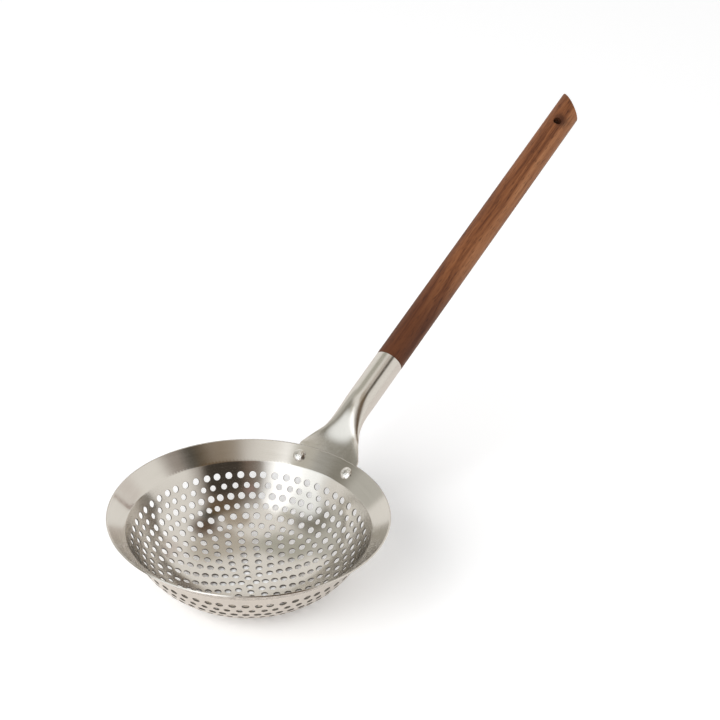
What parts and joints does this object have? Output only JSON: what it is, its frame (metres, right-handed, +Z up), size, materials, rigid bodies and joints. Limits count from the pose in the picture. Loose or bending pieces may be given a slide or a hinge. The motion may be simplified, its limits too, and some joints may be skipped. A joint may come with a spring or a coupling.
{
  "type": "perforated skimmer",
  "caption": "Kitchen skimmer with a round perforated steel bowl, a flared sheet socket riveted under its sloping rim, and a straight wooden handle with a slanted, drilled tip.",
  "frame": {"origin": "middle of the bowl's underside, on the surface that the bowl stands on", "axes": "+Z up along the bowl's axis, +Y from the bowl towards the handle's tip, +X to the right seen from the bowl"},
  "size_m": [0.16, 0.4364, 0.184],
  "materials": {
    "bowl_steel": "satin, brushed round the bowl",
    "socket_steel": "satin",
    "rivet_steel": "polished",
    "handle_wood": "oiled, straight grain along the handle"
  },
  "bodies": {
    "root": {"bowl": "bowl_steel", "handle_socket": "socket_steel", "rivet_left": "rivet_steel", "rivet_right": "rivet_steel", "wooden_handle": "handle_wood"}
  },
  "joints": []
}
